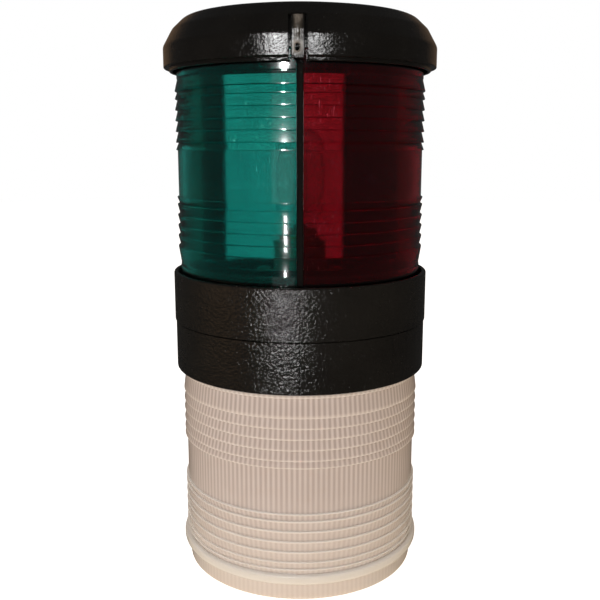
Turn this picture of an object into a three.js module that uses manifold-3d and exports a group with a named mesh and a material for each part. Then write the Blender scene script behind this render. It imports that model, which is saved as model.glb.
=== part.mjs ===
// Masthead light for a sailing boat: a three-sector running light above an all-round white light.
// Millimetres, +Z up. The bow side faces -Y, and the origin is the centre of the flat underside.
import * as THREE from 'three';
import { mergeVertices } from 'three/addons/utils/BufferGeometryUtils.js';
import Module from 'manifold-3d';

const wasm = await Module();
wasm.setup();

// ---- Driving dimensions ----
const gap = 0.3;                      // clearance between pieces that touch
const roundSides = 32;                // facets around the large turned pieces

const whiteCentre = 46.9;             // height of the white light's optical centre
const sectorCentre = 168.9;           // height of the running light's optical centre
const sectorAngle = 112.5;            // degrees from the bow to each rear joint

const bandHalfHeight = 9.5;           // plain band of a lens, half its height
const firstTooth = 3.0;
const toothPitch = 4.35;
const lastTooth = 3.1;

const lugAngles = [60, 180, 300];     // where the three lugs or slots of each turning joint stand

const whiteInner = 47.4;
const whiteBand = 50.1;
const whiteTip = 51.1;
const spigotRadius = 49.7;
const beadRadius = 52.3;
const beadBottom = 8.0;
const beadTop = 11.4;
const whiteTop = 104.0;

const sectorInner = 48.2;
const sectorBand = 51.1;
const sectorTip = 51.8;
const sectorRoot = 50.7;
const sectorBottom = 124.7;
const sectorTop = 214.0;

const collarRadius = 54.0;
const collarTop = 128.3;
const partingHeight = 107.5;
const ringRadius = 53.6;
const ringBottom = 86.8;
const lipTop = 134.3;
const deckTop = 128.2;

const capRadius = 56.0;
const capRim = 210.9;
const capBandTop = 219.0;
const shoulderRadius = 52.3;
const shoulderTop = 225.7;
const crownRadius = 47.5;
const crownTop = 230.25;
const capApex = 233.9;
const skirtBottom = 205.4;

const screenThickness = 2.4;
const screenBottom = 134.7;
const screenTop = 204.6;
const screenEdgeBottom = 128.6;
const screenEdgeTop = 209.1;
const screenOuter = 51.0;
// For each screen: its angle from the bow, and how close its inner edge comes to the light's axis.
const screens = {
  bow_screen: { angle: 0, inner: 27.0 },
  red_side_screen: { angle: sectorAngle, inner: 20.5 },
  green_side_screen: { angle: -sectorAngle, inner: 36.4 },
};

const plateRadius = 46.8;
const plateThickness = 5.0;
const rimHeight = 9.4;

const latchOffset = -0.7;             // the latch sits this far to the side of the bow line
const latchWidth = 4.5;
const latchRecess = 6.9;
const latchThickness = 1.9;
const latchProud = 0.4;
const latchLength = 7.2;              // length of the tongue up the shoulder

const bayonetTurn = 25;               // degrees a bulb turns in its socket
const bulbTravel = 2.0;
const filamentHeight = 40.4;          // filament above the lampholder's seat
const glandY = -27;                   // the cable gland stands this far towards the bow
const riserReach = 36.5;              // distance of the riser from the light's axis

// ---- Finishes ----
const finishes = {
  blackPlastic: { color: 0x151512, roughness: 0.45, metalness: 0 },
  blackRubber: { color: 0x101010, roughness: 0.8, metalness: 0 },
  whitePlastic: { color: 0xd9d6cf, roughness: 0.5, metalness: 0 },
  milkLens: { color: 0xe6dccf, roughness: 0.4, metalness: 0 },
  greenLens: { color: 0x0c6b5f, roughness: 0.08, metalness: 0 },
  redLens: { color: 0x6a0410, roughness: 0.08, metalness: 0 },
  clearLens: { color: 0xdfe4e4, roughness: 0.08, metalness: 0 },
  clearGlass: { color: 0xf0f4f4, roughness: 0.03, metalness: 0 },
  brass: { color: 0xb48a45, roughness: 0.35, metalness: 1 },
  nickel: { color: 0xb9b4aa, roughness: 0.3, metalness: 1 },
  steel: { color: 0xa9abad, roughness: 0.3, metalness: 1 },
  tungsten: { color: 0x55555a, roughness: 0.4, metalness: 1 },
};

// ---- Geometry helpers ----
const radians = THREE.MathUtils.degToRad;

function signedVolume(positions, triangles) {
  const corners = [new THREE.Vector3(), new THREE.Vector3(), new THREE.Vector3()];
  let total = 0;
  for (let i = 0; i < triangles.length; i += 3) {
    corners.forEach((corner, k) => corner.fromArray(positions, 3 * triangles[i + k]));
    total += corners[0].dot(corners[1].cross(corners[2])) / 6;
  }
  return total;
}

// Turns a closed three.js geometry into a solid that can be joined and cut.
function toSolid(geometry) {
  geometry.deleteAttribute('normal');
  geometry.deleteAttribute('uv');
  const merged = mergeVertices(geometry, 1e-4);
  const positions = merged.attributes.position.array;
  let triangles = [];
  for (let i = 0; i < merged.index.count; i += 3) {
    const [a, b, c] = [0, 1, 2].map((k) => merged.index.getX(i + k));
    if (a !== b && b !== c && c !== a) triangles.push(a, b, c);
  }
  if (signedVolume(positions, triangles) < 0) triangles = triangles.reverse();
  const mesh = new wasm.Mesh({
    numProp: 3,
    vertProperties: new Float32Array(positions),
    triVerts: new Uint32Array(triangles),
  });
  return new wasm.Manifold(mesh);
}

function toGeometry(solid) {
  const mesh = solid.getMesh();
  const geometry = new THREE.BufferGeometry();
  geometry.setAttribute('position', new THREE.BufferAttribute(new Float32Array(mesh.vertProperties), 3));
  geometry.setIndex(new THREE.BufferAttribute(new Uint32Array(mesh.triVerts), 1));
  geometry.computeVertexNormals();
  return geometry;
}

// A turned piece. The profile is [radius, height] pairs: it ends on the axis or closes on itself.
function turned(profile, sides = roundSides, x = 0, y = 0) {
  const onAxis = profile[0][0] === 0 && profile.at(-1)[0] === 0;
  const loop = onAxis ? profile : [...profile, profile[0]];
  const points = loop.map(([radius, height]) => new THREE.Vector2(radius, height));
  const geometry = new THREE.LatheGeometry(points, sides);
  geometry.rotateX(Math.PI / 2);
  geometry.translate(x, y, 0);
  return toSolid(geometry);
}

function tube(inner, outer, bottom, top, sides, x = 0, y = 0) {
  return turned([[inner, bottom], [outer, bottom], [outer, top], [inner, top]], sides, x, y);
}

function post(radius, bottom, top, sides, x = 0, y = 0) {
  return turned([[0, bottom], [radius, bottom], [radius, top], [0, top]], sides, x, y);
}

function block(size, centre, turn = 0) {
  const geometry = new THREE.BoxGeometry(...size);
  geometry.translate(...centre);
  geometry.rotateZ(turn);
  return toSolid(geometry);
}

// Part of a ring between two bow angles, in degrees from the bow towards +X.
function ringSector(inner, outer, fromAngle, toAngle, bottom, top, steps = 6) {
  const start = radians(fromAngle - 90);
  const end = radians(toAngle - 90);
  const shape = new THREE.Shape();
  shape.absarc(0, 0, outer, start, end, false);
  shape.absarc(0, 0, inner, end, start, true);
  const geometry = new THREE.ExtrudeGeometry(shape, {
    depth: top - bottom,
    bevelEnabled: false,
    curveSegments: steps,
  });
  geometry.translate(0, 0, bottom);
  return toSolid(geometry);
}

// An outline in [radius, height] on the bow's centre plane, made as thick as width.
function bowSlab(outline, width, sideways = 0) {
  const shape = new THREE.Shape(outline.map(([radius, height]) => new THREE.Vector2(radius, height)));
  const geometry = new THREE.ExtrudeGeometry(shape, { depth: width, bevelEnabled: false });
  geometry.rotateX(Math.PI / 2);
  geometry.rotateZ(-Math.PI / 2);
  geometry.translate(width / 2 + sideways, 0, 0);
  return toSolid(geometry);
}

function wire(points, radius, steps, sides = 6) {
  const stops = points.map((point) => new THREE.Vector3(...point));
  const path = new THREE.CatmullRomCurve3(stops, false, 'catmullrom', 0.2);
  const corners = Array.from({ length: sides }, (_, i) => {
    const angle = (2 * Math.PI * i) / sides;
    return new THREE.Vector2(radius * Math.cos(angle), radius * Math.sin(angle));
  });
  const options = { steps, bevelEnabled: false, extrudePath: path };
  return toSolid(new THREE.ExtrudeGeometry(new THREE.Shape(corners), options));
}

function place(parent, name, solid, finish) {
  const mesh = new THREE.Mesh(toGeometry(solid), new THREE.MeshStandardMaterial(finishes[finish]));
  mesh.name = name;
  parent.add(mesh);
  return mesh;
}

// ---- Lenses ----
// Heights of the prism steps above or below the optical centre.
function prismSteps(count) {
  const steps = [bandHalfHeight, bandHalfHeight + firstTooth];
  while (steps.length < count) steps.push(steps.at(-1) + (steps.length === 6 ? lastTooth : toothPitch));
  return steps;
}

// Outer wall of a lens from its lower end to its upper end: each prism is thickest towards the centre.
function prismWall({ centre, band, tip, root, lowerCount, upperCount, lowerEnd, upperEnd }) {
  const lower = prismSteps(lowerCount).reverse();
  const upper = prismSteps(upperCount);
  const wall = [[root, lowerEnd]];
  lower.forEach((step, i) => {
    wall.push([tip, centre - step]);
    wall.push([i === lower.length - 1 ? band : root, centre - step]);
  });
  upper.forEach((step, i) => {
    if (i > 0) wall.push([root, centre + step]);
    else wall.push([band, centre + step]);
    wall.push([tip, centre + step]);
  });
  wall.push([root, upperEnd]);
  return wall;
}

function anchorLens() {
  const flangeBottom = 98.0;
  const flangeTop = 100.4;
  const flangeRadius = 51.6;
  const chamfer = 0.3;
  const crown = 0.8;                  // height of the bead's sloping shoulders
  const ringBottomEdge = 84.9;
  const ringTopEdge = 86.2;
  const wall = prismWall({
    centre: whiteCentre,
    band: whiteBand,
    tip: whiteTip,
    root: whiteBand,
    lowerCount: 7,
    upperCount: 6,
    lowerEnd: beadTop + 0.2,
    upperEnd: ringBottomEdge - chamfer,
  });
  const body = turned([
    [whiteInner, gap],
    [spigotRadius, gap],
    [spigotRadius, beadBottom - chamfer],
    [beadRadius - chamfer, beadBottom],
    [beadRadius, beadBottom + crown],
    [beadRadius, beadTop - crown],
    [beadRadius - chamfer, beadTop],
    ...wall,
    [whiteTip, ringBottomEdge],
    [whiteTip, ringTopEdge],
    [whiteBand, ringTopEdge + 0.2],
    [whiteBand, flangeBottom],
    [flangeRadius, flangeBottom],
    [flangeRadius, flangeTop],
    [whiteBand, flangeTop],
    [whiteBand, whiteTop],
    [whiteInner, whiteTop],
  ]);
  // Each L-shaped slot lets a lug of the base in from below and along.
  const slotInner = 46;
  const slotOuter = 48.9;
  const slotBottom = 1.4;
  const slotTop = 5.0;
  const lugRoom = 7;
  const turnRoom = 20;
  let lens = body;
  for (const angle of lugAngles) {
    const entryStart = angle - turnRoom - lugRoom;
    const entryEnd = angle - turnRoom + lugRoom;
    const leg = ringSector(slotInner, slotOuter, entryStart, angle + lugRoom, slotBottom, slotTop, 5);
    const entry = ringSector(slotInner, slotOuter, entryStart, entryEnd, -1, slotTop, 3);
    lens = lens.subtract(leg).subtract(entry);
  }
  return lens;
}

function sectorRing() {
  const skirtRadius = 50.9;
  const wallBottom = 131.0;
  const wallTop = 207.0;
  const wall = prismWall({
    centre: sectorCentre,
    band: sectorBand,
    tip: sectorTip,
    root: sectorRoot,
    lowerCount: 6,
    upperCount: 7,
    lowerEnd: wallBottom + 1.0,
    upperEnd: wallTop - 0.5,
  });
  const ring = turned([
    [sectorInner, sectorBottom],
    [skirtRadius, sectorBottom],
    [skirtRadius, wallBottom],
    ...wall,
    [skirtRadius, wallTop],
    [skirtRadius, sectorTop],
    [sectorInner, sectorTop],
  ]);
  const rootRadius = 50.0;
  const lugRadius = 52.1;
  const lugHalf = 7;
  const ribRadius = 51.6;
  const ribWidth = 1.5;
  let lugged = ring;
  for (const angle of lugAngles) {
    lugged = lugged.add(ringSector(rootRadius, lugRadius, angle - lugHalf, angle + lugHalf, 212.5, 213.8, 3));
  }
  for (const angle of [-5, 3.5]) {
    lugged = lugged.add(ringSector(rootRadius, ribRadius, angle, angle + ribWidth, 210.4, 213.0, 1));
  }
  return lugged;
}

function lensSector(ring, fromAngle, toAngle) {
  const reach = 90;
  const middle = (fromAngle + toAngle) / 2;
  const corners = [fromAngle, middle, toAngle].map((angle) => {
    return new THREE.Vector2(reach * Math.sin(radians(angle)), -reach * Math.cos(radians(angle)));
  });
  const bottom = sectorBottom - 5;
  const height = 100;
  const shape = new THREE.Shape([new THREE.Vector2(0, 0), ...corners]);
  const wedge = new THREE.ExtrudeGeometry(shape, { depth: height, bevelEnabled: false });
  wedge.translate(0, 0, bottom);
  let sector = ring.intersect(toSolid(wedge));
  for (const angle of [fromAngle, toAngle]) {
    const slot = [screenThickness + 2 * gap, 30, height];
    sector = sector.subtract(block(slot, [0, -sectorInner, bottom + height / 2], radians(angle)));
  }
  return sector;
}

// A black screen whose outer edge fills the joint between two lens sectors.
function sectorScreen(inner) {
  const wall = (from, to, bottom, top) => block(
    [screenThickness, to - from, top - bottom],
    [0, -(to + from) / 2, (top + bottom) / 2],
  );
  const plate = wall(inner, sectorInner, screenBottom, screenTop);
  const strip = wall(sectorInner - 1, screenOuter, screenBottom, screenTop);
  const edge = wall(sectorInner, screenOuter, screenEdgeBottom, screenEdgeTop);
  return plate.add(strip).add(edge);
}

// ---- Housing pieces ----
function middleHousing() {
  const seatRadius = 52.2;
  const innerSkirt = whiteInner - gap;
  const skirtBore = 45.2;
  const skirtFoot = 99.0;
  const wireHole = 4.0;
  const deckThickness = 3.0;
  const lipInner = 46.0;
  const edgeRounding = 0.5;
  const housing = turned([
    [wireHole, deckTop - deckThickness],
    [skirtBore, deckTop - deckThickness],
    [skirtBore, skirtFoot],
    [innerSkirt, skirtFoot],
    [innerSkirt, partingHeight + 0.15],
    [collarRadius, partingHeight + 0.15],
    [collarRadius, collarTop - edgeRounding],
    [collarRadius - edgeRounding, collarTop],
    [seatRadius, collarTop],
    [seatRadius, sectorBottom - gap],
    [sectorInner - gap, sectorBottom - gap],
    [sectorInner - gap, lipTop],
    [lipInner, lipTop],
    [lipInner, deckTop],
    [wireHole, deckTop],
  ]);
  return drillLampScrews(housing, deckTop - 4, deckTop + 1);
}

function retainingRing() {
  const inner = 50.6;
  const pocket = 52.0;
  const pocketFloor = 97.7;
  const rounding = 0.75;
  const ring = turned([
    [inner, ringBottom],
    [ringRadius - rounding, ringBottom],
    [ringRadius, ringBottom + rounding],
    [ringRadius, partingHeight - 0.15],
    [pocket, partingHeight - 0.15],
    [pocket, pocketFloor],
    [inner, pocketFloor],
  ]);
  const slitBottom = 1.0;
  const slitTop = 0.35;
  const slitInner = inner - 4;
  const slitDepth = 12;
  const shape = new THREE.Shape([
    new THREE.Vector2(-slitBottom / 2, ringBottom - 1),
    new THREE.Vector2(slitBottom / 2, ringBottom - 1),
    new THREE.Vector2(slitTop / 2, partingHeight + 1),
    new THREE.Vector2(-slitTop / 2, partingHeight + 1),
  ]);
  const slit = new THREE.ExtrudeGeometry(shape, { depth: slitDepth, bevelEnabled: false });
  slit.rotateX(Math.PI / 2);
  slit.translate(0, -slitInner, 0);
  return ring.subtract(toSolid(slit));
}

// ---- Cap and its latch ----
const shoulderLine = new THREE.Vector2(shoulderRadius - capRadius, shoulderTop - capBandTop).normalize();
const shoulderOut = new THREE.Vector2(shoulderLine.y, -shoulderLine.x);

// Point on the shoulder's line, moved up the slope and out of the surface.
function onShoulder(upSlope, proud) {
  return [
    capRadius + shoulderLine.x * upSlope + shoulderOut.x * proud,
    capBandTop + shoulderLine.y * upSlope + shoulderOut.y * proud,
  ];
}

// Height at which a line parallel to the shoulder reaches the given radius.
function shoulderHeight(radius, proud) {
  return capBandTop + (proud - shoulderOut.x * (radius - capRadius)) / shoulderOut.y;
}

function topCap() {
  const lipRadius = 53.7;
  const wallInner = 52.5;
  const lipBottom = capRim - 1.4;
  const sealSeat = 216.6;
  const skirtOuter = sectorInner - gap;
  const skirtInner = 46.1;
  const rounding = 0.4;
  let cap = turned([
    [0, capApex],
    [21.0, capApex - 0.4],
    [37.0, capApex - 1.8],
    [crownRadius, crownTop],
    [shoulderRadius, shoulderTop],
    [capRadius - rounding, capBandTop + rounding],
    [capRadius, capBandTop - rounding],
    [capRadius, capRim + rounding],
    [capRadius - rounding, capRim],
    [lipRadius, capRim],
    [lipRadius, lipBottom],
    [wallInner, lipBottom],
    [wallInner, sealSeat],
    [skirtOuter, sealSeat],
    [skirtOuter, skirtBottom],
    [skirtInner, skirtBottom],
    [skirtInner, 221.5],
    [39.5, 227.6],
    [20.0, 229.6],
    [0, 230.2],
  ]);
  const lugHalf = 7;
  for (const angle of lugAngles) {
    cap = cap.add(ringSector(51.2, 53.0, angle - lugHalf, angle + lugHalf, capRim, capRim + 1.2, 3));
  }
  const floor = latchProud - latchThickness - 0.5;
  const recessRadius = capRadius - latchThickness - 0.6;
  const outside = capRadius + 4;
  const belowRim = capRim - 6;
  const notchRadius = 52.0;
  const notchTop = 214.1;
  const tipRoom = latchLength + 0.4;
  const recess = bowSlab([
    [outside, belowRim],
    [notchRadius, belowRim],
    [notchRadius, notchTop],
    [recessRadius, notchTop],
    [recessRadius, shoulderHeight(recessRadius, floor)],
    onShoulder(tipRoom, floor),
    onShoulder(tipRoom, 3),
    [outside, capBandTop + 7],
  ], latchRecess, latchOffset);
  return cap.subtract(recess);
}

function capLatch() {
  const outer = capRadius;
  const inner = capRadius - latchThickness;
  const tip = 210.2;
  const nubRadius = 51.9;
  const tongue = bowSlab([
    [inner, tip],
    [outer, tip],
    [outer, shoulderHeight(outer, latchProud)],
    onShoulder(latchLength, latchProud),
    onShoulder(latchLength, latchProud - latchThickness),
    [inner, shoulderHeight(inner, latchProud - latchThickness)],
    [inner, tip + 3.0],
    [nubRadius, tip + 2.4],
    [nubRadius, tip + 1.0],
    [inner, tip + 0.6],
  ], latchWidth, latchOffset);
  const eyeletCentre = [-0.25, 213.9];
  const eyeletHalf = [0.85, 1.35];
  const eyelet = new THREE.Shape();
  eyelet.absellipse(...eyeletCentre, ...eyeletHalf, 0, 2 * Math.PI);
  const hole = new THREE.ExtrudeGeometry(eyelet, { depth: 12, bevelEnabled: false, curveSegments: 6 });
  hole.rotateX(Math.PI / 2);
  hole.translate(latchOffset, -50, 0);
  return tongue.subtract(toSolid(hole));
}

// ---- Base ----
function basePlate() {
  const grooveRadius = 45.2;
  const grooveWidth = 2.5;
  const rimInner = 42.5;
  const lugHalf = 6;
  const screwReach = 31;
  const screwHole = 2.3;
  const headHole = 4.4;
  const glandHole = 5.2;
  let plate = turned([
    [0, 0],
    [plateRadius, 0],
    [plateRadius, plateThickness],
    [grooveRadius, plateThickness],
    [grooveRadius, plateThickness + grooveWidth],
    [plateRadius, plateThickness + grooveWidth],
    [plateRadius, rimHeight],
    [rimInner, rimHeight],
    [rimInner, plateThickness],
    [0, plateThickness],
  ]);
  for (const angle of lugAngles) {
    plate = plate.add(ringSector(46.0, 48.5, angle - lugHalf, angle + lugHalf, 1.9, 4.3, 3));
  }
  for (const side of [-1, 1]) {
    plate = plate.subtract(post(screwHole, -1, 6, 12, side * screwReach, 0));
    plate = plate.subtract(post(headHole, 3.0, 6, 12, side * screwReach, 0));
  }
  plate = plate.subtract(post(glandHole, -1, 6, 16, 0, glandY));
  return drillLampScrews(plate, 1.2, 6);
}

const lampScrewReach = 15.5;

function drillLampScrews(solid, bottom, top) {
  let drilled = solid;
  for (const side of [-1, 1]) {
    drilled = drilled.subtract(post(1.75, bottom, top, 8, side * lampScrewReach, 0));
  }
  return drilled;
}

// ---- Lamps ----
function lampholder() {
  const footRadius = 4.5;
  const footThickness = 2.4;
  const cupRadius = 11.0;
  const cupBore = 9.4;
  const cupHeight = 18.0;
  const wireHole = 3.2;
  const foot = new THREE.Shape();
  foot.absarc(lampScrewReach, 0, footRadius, -Math.PI / 2, Math.PI / 2, false);
  foot.absarc(-lampScrewReach, 0, footRadius, Math.PI / 2, 1.5 * Math.PI, false);
  const options = { depth: footThickness, bevelEnabled: false, curveSegments: 4 };
  const cup = post(cupRadius, 0, cupHeight, 16);
  const hollow = post(cupBore, footThickness, cupHeight + 1, 16);
  const body = toSolid(new THREE.ExtrudeGeometry(foot, options)).add(cup).subtract(hollow);
  return drillLampScrews(body.subtract(post(wireHole, -1, 3, 12)), -1, 4);
}

function lampScrew(side, shankLength) {
  const head = 2.4 + gap;
  const profile = [[0, head - shankLength], [1.4, head - shankLength], [1.4, head], [2.9, head]];
  profile.push([2.6, head + 1.4], [0, head + 1.7]);
  return turned(profile, 8, side * lampScrewReach, 0);
}

const pinHeights = [16.5, 14.0];      // the two pins stand at different heights, so a bulb fits one way

// Each J-shaped slot lets a bulb's pin in from above, along and back up.
function socketShell() {
  const pinRoom = 1.3;                // half the slot's height
  const slotHalf = 9.5;               // half the slot's width, in degrees
  let shell = tube(8.1, 8.9, 2.7, 19.6, 20);
  pinHeights.forEach((pinHeight, i) => {
    const rest = 90 + 180 * i;
    const insertion = rest + bayonetTurn;
    const bottom = pinHeight - bulbTravel - pinRoom;
    const leg = ringSector(7, 10, rest - slotHalf, insertion + slotHalf, bottom, pinHeight + pinRoom, 3);
    const entry = ringSector(7, 10, insertion - slotHalf, insertion + slotHalf, bottom, 21, 2);
    shell = shell.subtract(leg).subtract(entry);
  });
  return shell;
}

function contactSpring() {
  const turns = 2;
  const pointsPerTurn = 10;
  const coilRadius = 6.0;
  const wireRadius = 0.35;
  const bottom = 2.75 + wireRadius;
  const rise = 6.05 - wireRadius - bottom;
  const points = Array.from({ length: turns * pointsPerTurn + 1 }, (_, i) => {
    const angle = (2 * Math.PI * i) / pointsPerTurn;
    const height = bottom + (rise * i) / (turns * pointsPerTurn);
    return [coilRadius * Math.cos(angle), coilRadius * Math.sin(angle), height];
  });
  return wire(points, wireRadius, turns * 12, 4);
}

const padReach = 3.2;
const plungerBottom = 6.4;
const plungerTop = 8.1;

function contactPlunger() {
  let plunger = post(7.5, plungerBottom, plungerTop, 12);
  for (const side of [-1, 1]) {
    plunger = plunger.subtract(post(1.5, 6, 9, 8, side * padReach, 0));
  }
  return plunger;
}

const bulbBottom = 9.0;

function bulbCap() {
  let cap = tube(7.1, 7.6, bulbBottom + 0.9, bulbBottom + 14.0, 16);
  pinHeights.forEach((pinHeight, i) => {
    const pin = new THREE.CylinderGeometry(1.0, 1.0, 1.4, 8);
    pin.rotateZ(Math.PI / 2);
    pin.translate((1 - 2 * i) * 8.0, 0, pinHeight);
    cap = cap.add(toSolid(pin));
  });
  return cap;
}

function bulbInsulator() {
  let disc = turned([
    [0, bulbBottom + 0.6],
    [5.6, bulbBottom + 0.6],
    [6.8, bulbBottom + 1.6],
    [6.8, bulbBottom + 3.0],
    [0, bulbBottom + 3.0],
  ], 12);
  for (const side of [-1, 1]) {
    disc = disc.add(post(1.5, bulbBottom, bulbBottom + 1.2, 8, side * padReach, 0));
  }
  return disc;
}

function bulbGlass() {
  const inner = [
    [0, 43.5], [4.2, 42.8], [7.8, 40.4], [10.0, 35.8],
    [10.0, 26.2], [8.6, 19.4], [5.8, 14.3], [5.8, 5.0],
  ];
  const outer = [
    [6.6, 5.0], [6.6, 14.0], [9.4, 19.0], [10.8, 26.0],
    [10.8, 36.0], [8.6, 41.0], [4.6, 43.6], [0, 44.4],
  ];
  return turned([...inner, ...outer].map(([radius, height]) => [radius, bulbBottom + height]), 12);
}

function bulbStem() {
  return turned([
    [0, bulbBottom + 5.0],
    [4.6, bulbBottom + 5.0],
    [3.8, bulbBottom + 12.0],
    [1.7, bulbBottom + 18.0],
    [1.5, bulbBottom + 23.5],
    [0, bulbBottom + 24.0],
  ], 8);
}

function filamentLead(side) {
  const end = side < 0 ? filamentHeight - 5.0 : filamentHeight + 5.0;
  const reach = 2.7 * side;
  return wire([
    [reach, 0, bulbBottom + 18.5],
    [reach, 0, (bulbBottom + 18.5 + end) / 2],
    [reach, 0, end - 1.2],
    [reach * 0.8, 0, end - 0.2],
    [0, 0, end],
  ], 0.35, 10, 5);
}

// One complete lamp on its seat, built around the seat's centre. Returns its group.
function lamp(prefix, seatHeight, shankLength) {
  const group = new THREE.Group();
  group.position.z = seatHeight;
  place(group, `${prefix}_lampholder`, lampholder(), 'whitePlastic');
  place(group, `${prefix}_lampholder_screw_1`, lampScrew(-1, shankLength), 'steel');
  place(group, `${prefix}_lampholder_screw_2`, lampScrew(1, shankLength), 'steel');
  place(group, `${prefix}_socket_shell`, socketShell(), 'brass');
  place(group, `${prefix}_contact_spring`, contactSpring(), 'steel');
  place(group, `${prefix}_contact_plunger`, contactPlunger(), 'whitePlastic');
  place(group, `${prefix}_contact_pad_1`, post(1.2, 6.5, 8.7, 8, -padReach, 0), 'brass');
  place(group, `${prefix}_contact_pad_2`, post(1.2, 6.5, 8.7, 8, padReach, 0), 'brass');
  place(group, `${prefix}_bulb_cap`, bulbCap(), 'nickel');
  place(group, `${prefix}_bulb_insulator`, bulbInsulator(), 'blackPlastic');
  place(group, `${prefix}_bulb_glass`, bulbGlass(), 'clearGlass');
  place(group, `${prefix}_bulb_stem`, bulbStem(), 'clearGlass');
  place(group, `${prefix}_filament_lead_1`, filamentLead(-1), 'nickel');
  place(group, `${prefix}_filament_lead_2`, filamentLead(1), 'nickel');
  place(group, `${prefix}_filament`, post(0.8, filamentHeight - 4.2, filamentHeight + 4.2, 8), 'tungsten');
  return group;
}

// ---- Wiring between the two lights ----
const pinReaches = [riserReach - 2.6, riserReach + 2.6];

function riserTube() {
  const footSize = [9, 9.4, 5.6];
  const footCentre = 11.0;
  const tubeRadius = 3.0;
  const tubeBore = 2.3;
  const tubeTop = 110;
  const pinBore = 1.3;
  const foot = block(footSize, [0, riserReach, footCentre]);
  const stem = post(tubeRadius, footCentre + 1, tubeTop, 12, 0, riserReach);
  let riser = foot.add(stem).subtract(post(tubeBore, footCentre - 0.5, tubeTop + 1, 12, 0, riserReach));
  for (const reach of pinReaches) {
    riser = riser.subtract(post(pinBore, 7, 12.4, 8, 0, reach));
  }
  return riser;
}

function riserWire(side) {
  const wireRadius = 0.75;
  const shift = 1.05 * side;
  return wire([
    [shift, riserReach, 14.5],
    [shift, riserReach, 60],
    [shift, riserReach, 112],
    [shift, riserReach - 4, 118.0],
    [shift, riserReach - 14, 120],
    [shift, 7, 120.5],
    [shift, 1.2, 121.8],
    [shift, 0, 124.5],
    [shift, 0, 128.0],
  ], wireRadius, 24, 5);
}

// ---- Assembly ----
const light = new THREE.Group();

const base = new THREE.Group();
place(base, 'base_plate', basePlate(), 'whitePlastic');
const sealProfile = (radius, height, half) => [
  [radius - half, height],
  [radius, height - half],
  [radius + half, height],
  [radius, height + half],
];
place(base, 'base_o_ring', turned(sealProfile(46.3, plateThickness + 1.25, 0.8)), 'blackRubber');
const gland = [[3.6, 0.6], [4.9, 0.6], [4.9, 5.3], [7.4, 5.3], [7.4, 7.6], [3.6, 7.6]];
place(base, 'cable_gland', turned(gland, 12, 0, glandY), 'blackRubber');
pinReaches.forEach((reach, i) => {
  const name = i === 0 ? 'contact_strip_inner' : 'contact_strip_outer';
  place(base, name, ringSector(reach - 1.1, reach + 1.1, 172, 212, 5.3, 6.0, 4), 'brass');
});
const terminal = [-25.5, -14.0];
let terminalBody = block([13, 8, 7], [...terminal, 8.8]);
[-3, 3].forEach((shift, i) => {
  const x = terminal[0] + shift;
  terminalBody = terminalBody.subtract(post(2.2, 9.0, 14, 8, x, terminal[1]));
  place(base, `terminal_screw_${i + 1}`, post(1.8, 9.3, 11.6, 8, x, terminal[1]), 'steel');
});
place(base, 'terminal_block', terminalBody, 'whitePlastic');
base.add(lamp('anchor', plateThickness + 1.5, 5.0));
light.add(base);

const upper = new THREE.Group();
place(upper, 'anchor_lens', anchorLens(), 'milkLens');
place(upper, 'anchor_lens_seal', tube(47.7, 50.0, whiteTop + gap, partingHeight - 0.2, 24), 'blackRubber');
place(upper, 'retaining_ring', retainingRing(), 'blackPlastic');
place(upper, 'middle_housing', middleHousing(), 'blackPlastic');
place(upper, 'riser_tube', riserTube(), 'whitePlastic');
pinReaches.forEach((reach, i) => {
  place(upper, `feed_pin_${i + 1}`, post(1.0, 6.3, 12.0, 8, 0, reach), 'brass');
});
place(upper, 'riser_wire_1', riserWire(-1), 'blackRubber');
place(upper, 'riser_wire_2', riserWire(1), 'blackRubber');
const ring = sectorRing();
place(upper, 'red_lens', lensSector(ring, 0, sectorAngle), 'redLens');
place(upper, 'stern_lens', lensSector(ring, sectorAngle, 360 - sectorAngle), 'clearLens');
place(upper, 'green_lens', lensSector(ring, 360 - sectorAngle, 360), 'greenLens');
for (const [name, screen] of Object.entries(screens)) {
  place(upper, name, sectorScreen(screen.inner), 'blackPlastic').rotation.z = radians(screen.angle);
}
upper.add(lamp('tricolour', deckTop + gap, 5.0));
light.add(upper);

const cap = new THREE.Group();
place(cap, 'top_cap', topCap(), 'blackPlastic');
place(cap, 'cap_seal', tube(48.6, 51.4, sectorTop + gap, 216.3, 24), 'blackRubber');
place(cap, 'cap_latch', capLatch(), 'blackPlastic');
light.add(cap);

export default light;
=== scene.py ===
import math
import bpy
import bmesh
from mathutils import Matrix, Vector


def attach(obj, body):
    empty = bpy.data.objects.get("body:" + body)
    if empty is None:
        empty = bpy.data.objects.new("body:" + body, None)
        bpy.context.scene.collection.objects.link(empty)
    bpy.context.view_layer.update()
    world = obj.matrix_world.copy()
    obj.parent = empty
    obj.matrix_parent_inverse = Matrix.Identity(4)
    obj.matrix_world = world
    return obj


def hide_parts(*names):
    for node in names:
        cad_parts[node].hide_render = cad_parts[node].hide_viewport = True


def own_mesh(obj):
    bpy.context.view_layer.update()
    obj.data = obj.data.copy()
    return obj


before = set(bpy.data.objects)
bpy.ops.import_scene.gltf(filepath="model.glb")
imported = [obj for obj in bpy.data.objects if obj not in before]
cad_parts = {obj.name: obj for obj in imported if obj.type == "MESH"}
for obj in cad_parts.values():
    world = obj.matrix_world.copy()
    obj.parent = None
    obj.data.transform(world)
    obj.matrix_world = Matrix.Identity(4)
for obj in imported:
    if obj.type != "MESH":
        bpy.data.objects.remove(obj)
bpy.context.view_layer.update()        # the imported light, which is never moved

scene = bpy.context.scene
mm = 0.001
mergeDistance = 0.002 * mm
print('frame loaded:', len(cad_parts), 'nodes')


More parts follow.
